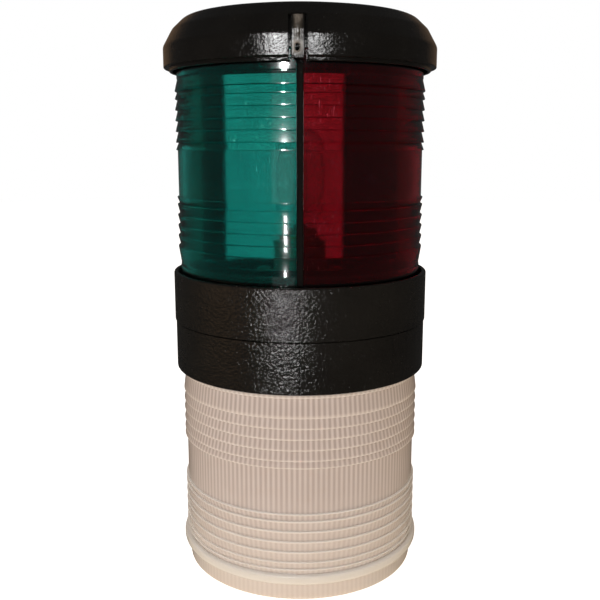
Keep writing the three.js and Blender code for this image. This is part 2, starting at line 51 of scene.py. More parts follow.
# Shapes are in millimetres, and an outline's points are (radius, height) or (radius, height, rounding).
def drawOutline(bm, outline, closed):
    corners = [bm.verts.new((0, -point[0] * mm, point[1] * mm)) for point in outline]
    ends = corners[1:] + corners[:1] if closed else corners[1:]
    for a, b in zip(corners, ends):
        bm.edges.new((a, b))
    return corners


def roundCorners(bm, corners, outline, rounding):
    groups = {}
    for corner, point in zip(corners, outline):
        size = point[2] if len(point) > 2 else rounding
        if size and point[0] > 0:
            groups.setdefault(size, []).append(corner)
    for size, group in groups.items():
        bmesh.ops.bevel(bm, geom=group, offset=size * mm, offset_type='OFFSET', affect='VERTICES',
                        segments=1 if size < 0.13 else 2 if size < 0.4 else 5,
                        profile=0.5, clamp_overlap=True, material=-1)


def tidyShape(bm):
    bmesh.ops.remove_doubles(bm, verts=bm.verts, dist=mergeDistance)
    bmesh.ops.recalc_face_normals(bm, faces=bm.faces)
    return bm


def shift(bm, x=0, y=0, z=0):
    bmesh.ops.translate(bm, verts=bm.verts, vec=(x * mm, y * mm, z * mm))
    return bm


def turnBy(bm, degrees, axis='Z', centre=(0, 0, 0)):
    middle = Vector(centre) * mm
    bmesh.ops.rotate(bm, verts=bm.verts, cent=middle, matrix=Matrix.Rotation(math.radians(degrees), 3, axis))
    return bm


# A turned shape. Angles run from the bow, at -Y, towards +X.
def turned(outline, steps=160, rounding=0.12, start=0.0, sweep=360.0, centre=(0, 0)):
    bm = bmesh.new()
    closed = outline[0][0] > 0 or outline[-1][0] > 0
    corners = drawOutline(bm, outline, closed)
    roundCorners(bm, corners, outline, rounding)
    turnBy(bm, start)
    full = sweep == 360.0
    bmesh.ops.spin(bm, geom=bm.verts[:] + bm.edges[:], cent=(0, 0, 0), axis=(0, 0, 1), dvec=(0, 0, 0),
                   angle=math.radians(sweep), steps=steps, use_merge=full)
    if not full:
        bmesh.ops.holes_fill(bm, edges=[edge for edge in bm.edges if len(edge.link_faces) == 1], sides=0)
    shift(bm, *centre)
    return tidyShape(bm)


def pipe(inner, outer, bottom, top, steps=96, rounding=0.2, centre=(0, 0)):
    outline = [(inner, bottom), (outer, bottom), (outer, top), (inner, top)]
    return turned(outline, steps, rounding, centre=centre)


def rod(radius, bottom, top, steps=32, rounding=0.0, centre=(0, 0)):
    return turned([(0, bottom), (radius, bottom), (radius, top), (0, top)], steps, rounding, centre=centre)


def ringPart(inner, outer, fromAngle, toAngle, bottom, top, rounding=0.0):
    outline = [(inner, bottom), (outer, bottom), (outer, top), (inner, top)]
    steps = max(3, round(abs(toAngle - fromAngle) / 2))
    return turned(outline, steps, rounding, start=fromAngle, sweep=toAngle - fromAngle)


def softenEdges(bm, size, segments=2, angle=40.0):
    edges = [edge for edge in bm.edges
             if len(edge.link_faces) == 2 and edge.calc_face_angle() > math.radians(angle)]
    bmesh.ops.bevel(bm, geom=edges, offset=size * mm, offset_type='OFFSET', affect='EDGES',
                    segments=segments, profile=0.5, clamp_overlap=True, material=-1)
    return bm


# A flat outline on the bow's centre plane, drawn out sideways.
def bowSlab(outline, width, sideways=0.0):
    bm = bmesh.new()
    face = bm.faces.new(drawOutline(bm, outline, False))
    shift(bm, x=sideways - width / 2)
    moved = bmesh.ops.extrude_face_region(bm, geom=[face])['geom']
    bmesh.ops.translate(bm, verts=[v for v in moved if isinstance(v, bmesh.types.BMVert)],
                        vec=(width * mm, 0, 0))
    return tidyShape(bm)


# A plain pin or drill, upright or turned about an axis to lie flat.
def dowel(radius, length, axis, segments=28):
    bm = bmesh.new()
    bmesh.ops.create_cone(bm, cap_ends=True, segments=segments, radius1=radius * mm, radius2=radius * mm,
                          depth=length * mm)
    return bm if axis == 'Z' else turnBy(bm, 90, axis)


def block(size, centre, rounding=0.3, turn=0.0):
    bm = bmesh.new()
    bmesh.ops.create_cube(bm, size=1.0)
    bmesh.ops.scale(bm, verts=bm.verts, vec=Vector(size) * mm)
    if rounding:
        softenEdges(bm, rounding)
    shift(bm, *centre)
    return turnBy(tidyShape(bm), turn)


def coil(radius, wire, bottom, rise, turns, stepsPerTurn=32, sides=10):
    bm = bmesh.new()
    bmesh.ops.create_circle(bm, cap_ends=False, segments=sides, radius=wire * mm)
    turnBy(bm, 90, 'X')
    shift(bm, x=radius, z=bottom)
    steps = round(turns * stepsPerTurn)
    bmesh.ops.spin(bm, geom=bm.verts[:] + bm.edges[:], cent=(0, 0, 0), axis=(0, 0, 1),
                   dvec=(0, 0, rise * mm / steps), angle=2 * math.pi * turns, steps=steps)
    bmesh.ops.holes_fill(bm, edges=[edge for edge in bm.edges if len(edge.link_faces) == 1], sides=0)
    return tidyShape(bm)


def liveShape(thing):
    scene.collection.objects.link(thing)
    bm = bmesh.new()
    bm.from_mesh(thing.evaluated_get(bpy.context.evaluated_depsgraph_get()).to_mesh())
    bpy.data.objects.remove(thing)
    return bm


# A bent wire or rib. Points are (x, y, z) or (x, y, z, thickness factor).
def bent(points, radius, sides=3):
    curve = bpy.data.curves.new('route', 'CURVE')
    curve.dimensions = '3D'
    curve.bevel_depth = radius * mm
    curve.bevel_resolution = sides
    curve.use_fill_caps = True
    line = curve.splines.new('NURBS')
    line.points.add(len(points) - 1)
    for spot, point in zip(line.points, points):
        spot.co = (point[0] * mm, point[1] * mm, point[2] * mm, 1)
        spot.radius = point[3] if len(point) > 3 else 1.0
    line.order_u = 3
    line.use_endpoint_u = True
    line.resolution_u = 6
    return tidyShape(liveShape(bpy.data.objects.new('route', curve)))


# Joins or cuts a shape with others.
def fitted(bm, others, operation='DIFFERENCE'):
    def asObject(shape):
        mesh = bpy.data.meshes.new('blank')
        shape.to_mesh(mesh)
        shape.free()
        return bpy.data.objects.new('blank', mesh)

    body = asObject(bm)
    tools = [asObject(other) for other in others]
    for tool in tools:
        scene.collection.objects.link(tool)
        modifier = body.modifiers.new('fit', 'BOOLEAN')
        modifier.operation = operation
        modifier.solver = 'EXACT'
        modifier.object = tool
    result = liveShape(body)
    for tool in tools:
        bpy.data.objects.remove(tool)
    return tidyShape(result)


def smoothed(bm, levels):
    mesh = bpy.data.meshes.new('blank')
    bm.to_mesh(mesh)
    bm.free()
    thing = bpy.data.objects.new('blank', mesh)
    modifier = thing.modifiers.new('round', 'SUBSURF')
    modifier.levels = modifier.render_levels = levels
    return tidyShape(liveShape(thing))


def makePiece(name, bm, body, finish, node, sharp=50.0, evenShading=True):
    for face in bm.faces:
        face.smooth = True
    for edge in bm.edges:
        if len(edge.link_faces) == 2 and edge.calc_face_angle() > math.radians(sharp):
            edge.smooth = False
    mesh = bpy.data.meshes.new(name)
    bm.to_mesh(mesh)
    bm.free()
    mesh.materials.append(finish)
    piece = bpy.data.objects.new(name, mesh)
    scene.collection.objects.link(piece)
    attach(piece, body)
    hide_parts(node)
    if evenShading:
        modifier = piece.modifiers.new('evenShading', 'WEIGHTED_NORMAL')
        modifier.keep_sharp = True
        modifier.weight = 100
    return piece


# A shader value that Python's own operators work on.
class Field:
    def __init__(self, finish, socket):
        self.finish = finish
        self.socket = socket

    def combine(self, operation, first, second):
        return self.finish.node('ShaderNodeMath', {'operation': operation}, {0: first, 1: second})

    def __add__(self, other):
        return self.combine('ADD', self, other)

    def __sub__(self, other):
        return self.combine('SUBTRACT', self, other)

    def __rsub__(self, other):
        return self.combine('SUBTRACT', other, self)

    def __mul__(self, other):
        return self.combine('MULTIPLY', self, other)

    __radd__ = __add__
    __rmul__ = __mul__


# One material, with its nodes added a method at a time.
class Finish:
    def __init__(self, name, fixed):
        self.material = bpy.data.materials.new(name)
        self.material.use_nodes = True
        self.tree = self.material.node_tree
        self.shader = self.tree.nodes['Principled BSDF']
        for socket, value in fixed.items():
            self.shader.inputs[socket].default_value = value
        self.place = self.node('ShaderNodeTexCoord', {}, {}, 'Object')

    def node(self, kind, settings, sockets, output=0):
        made = self.tree.nodes.new(kind)
        for setting, value in settings.items():
            setattr(made, setting, value)
        for name, value in sockets.items():
            self.plug(made.inputs[name], value)
        return Field(self, made.outputs[output])

    def plug(self, socket, value):
        if isinstance(value, Field):
            self.tree.links.new(value.socket, socket)
        else:
            socket.default_value = value

    def feed(self, **inputs):
        names = {'colour': 'Base Color', 'roughness': 'Roughness', 'metal': 'Metallic', 'normal': 'Normal'}
        for name, value in inputs.items():
            self.plug(self.shader.inputs[names[name]], value)
        return self.material

    # Noise whose lumps are about size millimetres across, drawn out by stretch.
    def grain(self, size, detail=2.0, stretch=(1, 1, 1), turn=(0, 0, 0)):
        place = self.node('ShaderNodeMapping', {}, {'Vector': self.place, 'Scale': stretch, 'Rotation': turn})
        return self.node('ShaderNodeTexNoise', {}, {'Vector': place, 'Scale': 0.5 / (size * mm),
                                                    'Detail': detail, 'Roughness': 0.55})

    def cells(self, size, feature='F1'):
        return self.node('ShaderNodeTexVoronoi', {'feature': feature},
                         {'Vector': self.place, 'Scale': 1 / (size * mm)})

    def between(self, field, low, high):
        return self.node('ShaderNodeMapRange', {'clamp': True},
                         {'Value': field, 'From Min': low, 'From Max': high, 'To Min': 0.0, 'To Max': 1.0})

    def shade(self, mask, first, second):
        colours = {0: mask}
        for socket, colour in ((6, first), (7, second)):
            colours[socket] = colour if isinstance(colour, Field) else (*colour, 1.0)
        return self.node('ShaderNodeMix', {'data_type': 'RGBA'}, colours, 2)

    def bump(self, height, depth, strength=1.0):
        return self.node('ShaderNodeBump', {},
                         {'Height': height, 'Distance': depth * mm, 'Strength': strength})

    # Fine scratches that run in one rough direction.
    def scratches(self, size, stretch, turn):
        lines = self.grain(size, 3.0, stretch, turn)
        return self.between(lines, 0.66, 0.72)


def mouldedPlastic(name, dark, light, settings):
    finish = Finish(name, {'IOR': 1.5, 'Specular IOR Level': settings.get('shine', 0.5)})
    cloud = finish.between(finish.grain(settings['cloud'], 4.0), 0.35, 0.68)
    fine = finish.grain(settings['grain'], 2.0)
    dust = finish.between(finish.cells(settings['dust']), 0.16, 0.08)
    rub = finish.scratches(1.1, (1, 1, 14), (0.25, 0.1, 0.0))
    rubCross = finish.scratches(1.4, (10, 1, 1), (0.0, 0.35, 0.5))
    marks = finish.between(rub + rubCross, 0.0, 1.6)
    colour = finish.shade(cloud * 0.7 + fine * 0.3, dark, light)
    colour = finish.shade(dust * settings['dustWeight'] + marks * settings['markWeight'], colour,
                          settings['dustColour'])
    roughness = settings['rough'] + cloud * 0.07 + fine * 0.08 + dust * 0.15 - marks * 0.04
    height = fine + marks * -0.12 + dust * 0.15
    return finish.feed(colour=colour, roughness=roughness,
                       normal=finish.bump(height, settings['depth'], settings['strength']))


def lensAcrylic(name, thin, thick, fixed, ripple):
    finish = Finish(name, {'IOR': 1.49, 'Roughness': 0.1, 'Transmission Weight': 1.0, 'Coat Weight': 0.6,
                           'Coat Roughness': 0.03, **fixed})
    flow = finish.between(finish.grain(9.0, 2.0, (1, 1, 0.35)), 0.3, 0.7)
    specks = finish.between(finish.cells(3.1), 0.09, 0.04)
    colour = finish.shade(flow, thin, thick)
    colour = finish.shade(specks * 0.35, colour, tuple(part * 0.4 for part in thick))
    patches = finish.between(finish.grain(15.0, 1.0), 0.5, 0.55)
    scuffs = finish.scratches(0.9, (3, 3, 0.35), (0.05, 0.1, 0.2)) * patches
    colour = finish.shade(scuffs * 0.8, colour, (0.85, 0.8, 0.72))
    hairlines = finish.scratches(1.6, (1, 1, 9), (0.5, 0.2, 0.3))
    hairlines = hairlines + finish.scratches(1.9, (9, 1, 2), (0.1, 0.7, 0.9))
    waves = finish.grain(2.6, 1.0) * ripple
    return finish.feed(colour=colour,
                       normal=finish.bump(waves - hairlines * 0.05 - specks * 0.1, 0.05))


def metal(name, clean, tarnished, rough, settings):
    finish = Finish(name, {})
    stain = finish.between(finish.grain(settings['stain'], 5.0), 0.42, 0.66)
    lines = finish.grain(0.35, 2.0, settings['stretch'])
    pits = finish.between(finish.cells(0.7), 0.14, 0.05)
    colour = finish.shade(stain * settings['tarnish'] + pits * 0.3, clean, tarnished)
    return finish.feed(colour=colour, metal=1.0 - pits * 0.2 - stain * 0.06,
                       roughness=rough + stain * 0.2 + lines * 0.12,
                       normal=finish.bump(lines - pits * 0.5, settings['depth']))


finishSettings = {
    'cap': {'rough': 0.05, 'cloud': 14.0, 'grain': 0.42, 'depth': 0.13, 'strength': 1.0,
            'dust': 2.6, 'dustWeight': 0.02, 'dustColour': (0.1, 0.09, 0.075), 'markWeight': 0.12},
    'collar': {'rough': 0.1, 'cloud': 18.0, 'grain': 0.55, 'depth': 0.42, 'strength': 1.0,
               'dust': 2.9, 'dustWeight': 0.03, 'dustColour': (0.1, 0.09, 0.075), 'markWeight': 0.08},
    'screen': {'shine': 0.15, 'rough': 0.6, 'cloud': 10.0, 'grain': 0.4, 'depth': 0.03, 'strength': 0.6,
               'dust': 3.0, 'dustWeight': 0.15, 'dustColour': (0.08, 0.08, 0.08), 'markWeight': 0.1},
    'pale': {'rough': 0.38, 'cloud': 12.0, 'grain': 0.5, 'depth': 0.03, 'strength': 0.6,
             'dust': 2.4, 'dustWeight': 0.2, 'dustColour': (0.42, 0.38, 0.3), 'markWeight': 0.1},
    'rubber': {'rough': 0.62, 'cloud': 6.0, 'grain': 0.3, 'depth': 0.03, 'strength': 0.7,
               'dust': 1.5, 'dustWeight': 0.4, 'dustColour': (0.12, 0.11, 0.1), 'markWeight': 0.05},
    'wire': {'rough': 0.36, 'cloud': 5.0, 'grain': 0.3, 'depth': 0.01, 'strength': 0.5,
             'dust': 1.8, 'dustWeight': 0.15, 'dustColour': (0.3, 0.28, 0.25), 'markWeight': 0.1},
}
capPlastic = mouldedPlastic('capPlastic', (0.0045, 0.0044, 0.004), (0.0095, 0.0092, 0.0082),
                            finishSettings['cap'])
collarPlastic = mouldedPlastic('collarPlastic', (0.0065, 0.0062, 0.0054), (0.014, 0.0132, 0.0112),
                               finishSettings['collar'])
screenPlastic = mouldedPlastic('screenPlastic', (0.005, 0.005, 0.005), (0.01, 0.01, 0.01),
                               finishSettings['screen'])
socketPlastic = mouldedPlastic('socketPlastic', (0.62, 0.6, 0.54), (0.74, 0.72, 0.67), finishSettings['pale'])
basePlastic = mouldedPlastic('basePlastic', (0.64, 0.62, 0.57), (0.76, 0.74, 0.7), finishSettings['pale'])
sealRubber = mouldedPlastic('sealRubber', (0.01, 0.01, 0.01), (0.024, 0.023, 0.022), finishSettings['rubber'])
redWire = mouldedPlastic('redWire', (0.38, 0.012, 0.012), (0.5, 0.03, 0.025), finishSettings['wire'])
blackWire = mouldedPlastic('blackWire', (0.012, 0.012, 0.012), (0.03, 0.03, 0.03), finishSettings['wire'])

# The last settings place and colour the latch's rubbed wear and its painted highlight.
latchSettings = {'offset': -0.7, 'width': 4.5, 'recess': 6.9, 'thick': 1.9, 'proud': 0.4, 'length': 7.2,
                 'bottom': 210.2, 'face': 55.55, 'eyelet': (-0.95, 213.9), 'eyeletHalf': (0.85, 1.35),
                 'ribRadius': 2.1, 'ribPaintHalf': 1.9, 'ribPaintFrom': 214.6, 'ribHighlightTop': 224.0,
                 'eyeletHighlightReach': (2.4, 2.9), 'rubbedAndLitColour': (0.21, 0.19, 0.16)}


# The latch's rib and the rim of its eyelet are painted lighter: the rib partly as rubbed wear and partly as a
# painted highlight that grows towards its top, the eyelet rim as a painted highlight.
def rubbedAndLitLatch():
    s = latchSettings
    finish = Finish('rubbedAndLitLatch', {'IOR': 1.5})
    axis = {name: finish.node('ShaderNodeSeparateXYZ', {}, {'Vector': finish.place}, name) for name in 'XZ'}

    def nearness(field, middle, reach):
        away = finish.node('ShaderNodeMath', {'operation': 'ABSOLUTE'}, {0: field - middle * mm})
        return finish.between(away, reach * mm, reach * 0.45 * mm)

    # Painted wear and painted highlight on the rib, lighter towards its top.
    along = finish.between(axis['Z'], s['ribPaintFrom'] * mm, (s['ribPaintFrom'] + 1.2) * mm)
    rib = nearness(axis['X'], s['offset'], s['ribPaintHalf']) * along
    rib = rib * (0.35 + 0.65 * finish.between(axis['Z'], (s['ribHighlightTop'] - 2.5) * mm, s['ribHighlightTop'] * mm))
    # Painted highlight around the rim of the eyelet.
    rim = nearness(axis['X'], s['eyelet'][0], s['eyeletHighlightReach'][0])
    rim = rim * nearness(axis['Z'], s['eyelet'][1], s['eyeletHighlightReach'][1])
    streaks = finish.between(finish.grain(0.5, 4.0, (1, 0.35, 0.12)), 0.35, 0.68)
    fine = finish.grain(0.5, 2.0)
    rubbedAndLit = finish.between(rib * (0.35 + streaks * 0.65) + rim * (0.3 + streaks * 0.9), 0.0, 1.0)
    colour = finish.shade(fine, (0.006, 0.0058, 0.005), (0.013, 0.0122, 0.0105))
    # The rib and the eyelet rim are painted lighter: part rubbed wear, part painted highlight.
    colour = finish.shade(rubbedAndLit, colour, s['rubbedAndLitColour'])
    return finish.feed(colour=colour, roughness=0.16 + rubbedAndLit * 0.22 + fine * 0.06,
                       normal=finish.bump(fine + streaks * 0.6, 0.06))


latchPlastic = rubbedAndLitLatch()
greenAcrylic = lensAcrylic('greenAcrylic', (0.006, 0.2, 0.165), (0.004, 0.165, 0.135), {}, 0.25)
redAcrylic = lensAcrylic('redAcrylic', (0.15, 0.0022, 0.006), (0.125, 0.0016, 0.0045), {}, 0.25)
clearAcrylic = lensAcrylic('clearAcrylic', (0.93, 0.95, 0.95), (0.9, 0.93, 0.92), {}, 0.2)
bulbGlass = lensAcrylic('bulbGlass', (0.97, 0.98, 0.98), (0.95, 0.965, 0.965),
                        {'IOR': 1.45, 'Roughness': 0.02, 'Coat Weight': 0.0}, 0.12)

metalSettings = {
    'brass': {'stain': 2.5, 'stretch': (1, 1, 6), 'tarnish': 0.7, 'depth': 0.006},
    'nickel': {'stain': 3.0, 'stretch': (1, 1, 8), 'tarnish': 0.45, 'depth': 0.005},
    'steel': {'stain': 1.8, 'stretch': (1, 1, 5), 'tarnish': 0.35, 'depth': 0.005},
    'spring': {'stain': 1.2, 'stretch': (4, 4, 1), 'tarnish': 0.4, 'depth': 0.004},
    'tungsten': {'stain': 0.6, 'stretch': (3, 3, 1), 'tarnish': 0.6, 'depth': 0.003},
}
contactBrass = metal('contactBrass', (0.66, 0.47, 0.19), (0.3, 0.19, 0.07), 0.22, metalSettings['brass'])
bulbNickel = metal('bulbNickel', (0.68, 0.66, 0.61), (0.4, 0.36, 0.3), 0.18, metalSettings['nickel'])
screwSteel = metal('screwSteel', (0.62, 0.62, 0.61), (0.36, 0.34, 0.31), 0.2, metalSettings['steel'])
springSteel = metal('springSteel', (0.5, 0.5, 0.51), (0.28, 0.26, 0.25), 0.24, metalSettings['spring'])
tungsten = metal('tungsten', (0.26, 0.26, 0.28), (0.12, 0.12, 0.13), 0.35, metalSettings['tungsten'])


milkSettings = {'flutes': 150, 'scatter': (1.0, 1.0, 1.0), 'scatterDepth': 0.0016}


# Milky acrylic: a satin skin. Its colour holds painted light and shade: painted shade in the valleys of the
# inside flutes, painted light lines on the prism tips and on the flat ledges, and painted light towards the
# bottom.
def milkyAcrylic():
    finish = Finish('milkyAcrylic', {'IOR': 1.49, 'Subsurface Weight': 1.0,
                                     'Subsurface Radius': milkSettings['scatter'],
                                     'Subsurface Scale': milkSettings['scatterDepth']})
    axes = {}
    for axis in 'XYZ':
        axes[axis] = finish.node('ShaderNodeSeparateXYZ', {}, {'Vector': finish.place}, axis)
    turn = finish.node('ShaderNodeMath', {'operation': 'ARCTAN2'}, {0: axes['X'], 1: axes['Y']})
    flutes = finish.node('ShaderNodeMath', {'operation': 'FRACT'},
                         {0: turn * (milkSettings['flutes'] / (2 * math.pi)) + 0.5})
    valley = finish.node('ShaderNodeMath', {'operation': 'ABSOLUTE'}, {0: flutes * 2.0 - 1.0})
    valley = finish.between(valley, 0.25, 0.75)
    tips = finish.node('ShaderNodeAttribute', {'attribute_name': 'prismTip'}, {}, 'Fac')
    cloud = finish.between(finish.grain(16.0, 4.0), 0.35, 0.68)
    fine = finish.grain(0.5, 2.0)
    grime = finish.between(finish.grain(5.0, 5.0, (1, 1, 2)), 0.55, 0.75)
    low = finish.between(axes['Z'], 0.045, 0.0)
    facing = finish.node('ShaderNodeNewGeometry', {}, {}, 'True Normal')
    upright = finish.node('ShaderNodeSeparateXYZ', {}, {'Vector': facing}, 'Z')
    ledge = finish.between(finish.node('ShaderNodeMath', {'operation': 'ABSOLUTE'}, {0: upright}), 0.5, 0.9)
    colour = finish.shade(cloud, (0.81, 0.75, 0.72), (0.77, 0.71, 0.675))
    # Painted shade: the flute valleys are darkened in the colour, more strongly higher up.
    stripes = valley * (0.5 + 0.45 * finish.between(axes['Z'], 0.025, 0.06))
    colour = finish.shade(stripes, colour, (0.58, 0.515, 0.485))
    colour = finish.shade(grime * 0.06, colour, (0.6, 0.49, 0.38))
    # Painted light: the colour grows lighter towards the bottom, for light from below.
    colour = finish.shade(low * 0.6, colour, (0.95, 0.9, 0.83))
    # Painted highlight lines on the prism tips, weaker on the upper rings.
    lines = finish.between(tips, 0.82, 0.97) * (0.45 + 0.45 * finish.between(axes['Z'], 0.052, 0.042))
    colour = finish.shade(lines, colour, (0.97, 0.92, 0.86))
    # Painted light on the flat ledges between the prisms, in place of their shade.
    colour = finish.shade(ledge, colour, (0.98, 0.95, 0.9))
    roughness = 0.1 + cloud * 0.05 + fine * 0.05 + grime * 0.06
    return finish.feed(colour=colour, roughness=roughness,
                       normal=finish.bump(fine * 0.4 + cloud * 0.5 - valley * 0.3, 0.03))


milkAcrylic = milkyAcrylic()
print('finishes made')


# Lens walls. Each prism is thickest towards the light's centre.
prismSettings = {'band': 9.5, 'first': 3.0, 'pitch': 4.35, 'last': 3.1, 'lastStep': 6}


def prismSteps(count):
    steps = [prismSettings['band'], prismSettings['band'] + prismSettings['first']]
    while len(steps) < count:
        size = 'last' if len(steps) == prismSettings['lastStep'] else 'pitch'
        steps.append(steps[-1] + prismSettings[size])
    return steps


def prismWall(centre, band, tip, root, lowerCount, upperCount, lowerEnd, upperEnd, tipRounding):
    wall = [(root, lowerEnd)]
    lower = prismSteps(lowerCount)[::-1]
    for step in lower:
        wall += [(tip, centre - step, tipRounding), (band if step is lower[-1] else root, centre - step)]
    for i, step in enumerate(prismSteps(upperCount)):
        wall += [(root if i else band, centre + step), (tip, centre + step, tipRounding)]
    return wall + [(root, upperEnd)]


# White all-round lens, fluted inside.
whiteLens = {'inner': 47.4, 'band': 50.1, 'tip': 51.1, 'spigot': 49.7, 'bead': 52.3, 'top': 104.0,
             'steps': 600, 'fluteDepth': 0.7, 'lugAngles': (60, 180, 300)}


def makeWhiteLens():
    s = whiteLens
    wall = prismWall(46.9, s['band'], s['tip'], s['band'], 7, 6, 11.6, 84.6, 0.12)
    outline = [(s['inner'], 0.3), (s['spigot'], 0.3, 0.3), (s['spigot'], 7.7), (s['bead'] - 0.3, 8.0),
               (s['bead'], 8.8, 0.3), (s['bead'], 10.6, 0.3), (s['bead'] - 0.3, 11.4), *wall,
               (s['tip'], 84.9), (s['tip'], 86.2, 0.2), (s['band'], 86.4), (s['band'], 98.0),
               (51.6, 98.0), (51.6, 100.4), (s['band'], 100.4), (s['band'], s['top']), (s['inner'], s['top'])]
    bm = turned(outline, s['steps'], 0.1)
    for v in bm.verts:
        reach = math.hypot(v.co.x, v.co.y)
        if reach < (s['inner'] + 0.15) * mm:
            turn = math.degrees(math.atan2(v.co.x, -v.co.y))
            crown = abs(math.sin(math.radians(turn * milkSettings['flutes'] / 2)))
            grown = (reach + s['fluteDepth'] * mm * crown) / reach
            v.co.x *= grown
            v.co.y *= grown
    tipMark = bm.verts.layers.float.new('prismTip')
    for v in bm.verts:
        reach = math.hypot(v.co.x, v.co.y)
        v[tipMark] = 1.0 if reach > (s['tip'] - 0.3) * mm else 0.0
    cutters = []
    for angle in s['lugAngles']:
        cutters.append(ringPart(46, 48.9, angle - 27, angle + 7, 1.4, 5.0))
        cutters.append(ringPart(46, 48.9, angle - 27, angle - 13, -1, 4.9))
    makePiece('white_lens', fitted(bm, cutters), 'housing', milkAcrylic, 'anchor_lens')


makeWhiteLens()
makePiece('white_lens_gasket', pipe(47.7, 50.0, 104.3, 107.3, 96, 0.5), 'housing', sealRubber,
          'anchor_lens_seal')
print('white lens made')

# Green, red and clear lens sectors.
sectorLens = {'inner': 48.2, 'outer': 50.9, 'band': 51.1, 'tip': 51.8, 'root': 50.7, 'bottom': 124.7,
              'top': 214.0, 'centre': 168.9, 'joint': 1.45, 'rearJoint': 112.5, 'lug': 7, 'stepAngle': 1.25}


def makeSector(name, fromAngle, toAngle, finish, node, lugAngle, ribAngle=None):
    s = sectorLens
    wall = prismWall(s['centre'], s['band'], s['tip'], s['root'], 6, 7, 132.0, 206.5, 0.26)
    outline = [(s['inner'], s['bottom']), (s['outer'], s['bottom'], 0.3), (s['outer'], 131.0), *wall,
               (s['outer'], 207.0), (s['outer'], s['top']), (s['inner'], s['top'])]
    start = fromAngle + s['joint']
    sweep = toAngle - fromAngle - 2 * s['joint']
    bm = turned(outline, round(sweep / s['stepAngle']), 0.1, start, sweep)
    lugs = [ringPart(50.0, 52.1, lugAngle - s['lug'], lugAngle + s['lug'], 212.5, 213.8, 0.2)]
    if ribAngle is not None:
        lugs.append(ringPart(50.0, 51.6, ribAngle, ribAngle + 1.5, 210.4, 213.0, 0.2))
    makePiece(name, fitted(bm, lugs, 'UNION'), 'housing', finish, node)


rear = sectorLens['rearJoint']
makeSector('red_port_lens', 0, rear, redAcrylic, 'red_lens', 60, 3.5)
makeSector('clear_rear_lens', rear, 360 - rear, clearAcrylic, 'stern_lens', 180)
makeSector('green_starboard_lens', 360 - rear, 360, greenAcrylic, 'green_lens', 300, 355)
print('lens sectors made')

# Black screens between the colours.
screenSettings = {'thick': 2.4, 'edgeRounding': 0.35,
                  'outline': [(48.2, 134.7), (48.2, 128.6), (51.0, 128.6), (51.0, 209.1), (48.2, 209.1),
                              (48.2, 204.6)],
                  'inner': {'bow_screen': 27.0, 'red_side_screen': 20.5, 'green_side_screen': 36.4}}


def makeScreen(name, node, angle):
    s = screenSettings
    inner = s['inner'][node]
    outline = [(inner, 134.7), *s['outline'], (inner, 204.6)]
    bm = softenEdges(bowSlab(outline, s['thick']), s['edgeRounding'])
    makePiece(name, turnBy(bm, angle), 'housing', screenPlastic, node)


makeScreen('bow_divider', 'bow_screen', 0)
makeScreen('red_side_divider', 'red_side_screen', rear)
makeScreen('green_side_divider', 'green_side_screen', -rear)

# Black collar between the two lights, and the split ring below it.
collarSettings = {'radius': 54.0, 'top': 128.3, 'parting': 107.65, 'deck': 128.2, 'lip': 134.3,
                  'lampScrew': 15.5}


def makeCollar():
    s = collarSettings
    outline = [(4.0, s['deck'] - 3), (45.2, s['deck'] - 3, 0.6), (45.2, 99.0), (47.1, 99.0),
               (47.1, s['parting']), (s['radius'], s['parting'], 0.28), (s['radius'], s['top'] - 0.4, 0.35),
               (s['radius'] - 0.5, s['top'], 0.2), (52.2, s['top'], 0.25), (52.2, 124.4), (47.9, 124.4),
               (47.9, s['lip'], 0.3), (46.0, s['lip'], 0.3), (46.0, s['deck'], 0.6), (4.0, s['deck'], 0.3)]
    holes = [rod(1.75, s['deck'] - 4, s['deck'] + 1, 24, centre=(side * s['lampScrew'], 0))
             for side in (-1, 1)]
    makePiece('collar_upper', fitted(turned(outline, 192, 0.15), holes), 'housing',
              collarPlastic, 'middle_housing')


ringSettings = {'radius': 53.6, 'bottom': 86.8, 'top': 107.35, 'inner': 50.6, 'pocket': 52.0,
                'slitBottom': 1.0, 'slitTop': 0.35, 'slitFloor': 52.6, 'slitStart': 58}


def makeRing():
    s = ringSettings
    outline = [(s['inner'], s['bottom'], 0.2), (s['radius'], s['bottom'], 0.9), (s['radius'], s['top'], 0.28),
               (s['pocket'], s['top']), (s['pocket'], 97.7), (s['inner'], 97.7)]
    slit = bmesh.new()
    corners = [(-s['slitBottom'] / 2, s['bottom'] - 1), (s['slitBottom'] / 2, s['bottom'] - 1),
               (s['slitTop'] / 2, s['top'] + 1), (-s['slitTop'] / 2, s['top'] + 1)]
    face = slit.faces.new([slit.verts.new((x * mm, -s['slitStart'] * mm, z * mm)) for x, z in corners])
    moved = bmesh.ops.extrude_face_region(slit, geom=[face])['geom']
    bmesh.ops.translate(slit, verts=[v for v in moved if isinstance(v, bmesh.types.BMVert)],
                        vec=(0, (s['slitStart'] - s['slitFloor']) * mm, 0))
    makePiece('collar_split_ring', fitted(turned(outline, 192, 0.15), [tidyShape(slit)]), 'housing',
              collarPlastic, 'retaining_ring')


makeCollar()
makeRing()
print('collar made')

# Cap, with its latch in the front.
capSettings = {'radius': 56.0, 'rim': 210.9, 'bandTop': 219.0, 'shoulder': (52.3, 225.7),
               'crown': (47.5, 230.25), 'apex': 233.9, 'lip': 209.5, 'skirt': 205.4, 'sealSeat': 216.6,
               'lugAngles': (60, 180, 300), 'lug': 7, 'slotRoom': 0.4, 'slotDepth': 0.5}
slope = Vector((capSettings['shoulder'][0] - capSettings['radius'],
                capSettings['shoulder'][1] - capSettings['bandTop'])).normalized()
outwards = Vector((slope.y, -slope.x))


def onShoulder(upSlope, proud):
    point = Vector((capSettings['radius'], capSettings['bandTop'])) + slope * upSlope + outwards * proud
    return point.x, point.y


def shoulderHeight(radius, proud):
    return capSettings['bandTop'] + (proud - outwards.x * (radius - capSettings['radius'])) / outwards.y


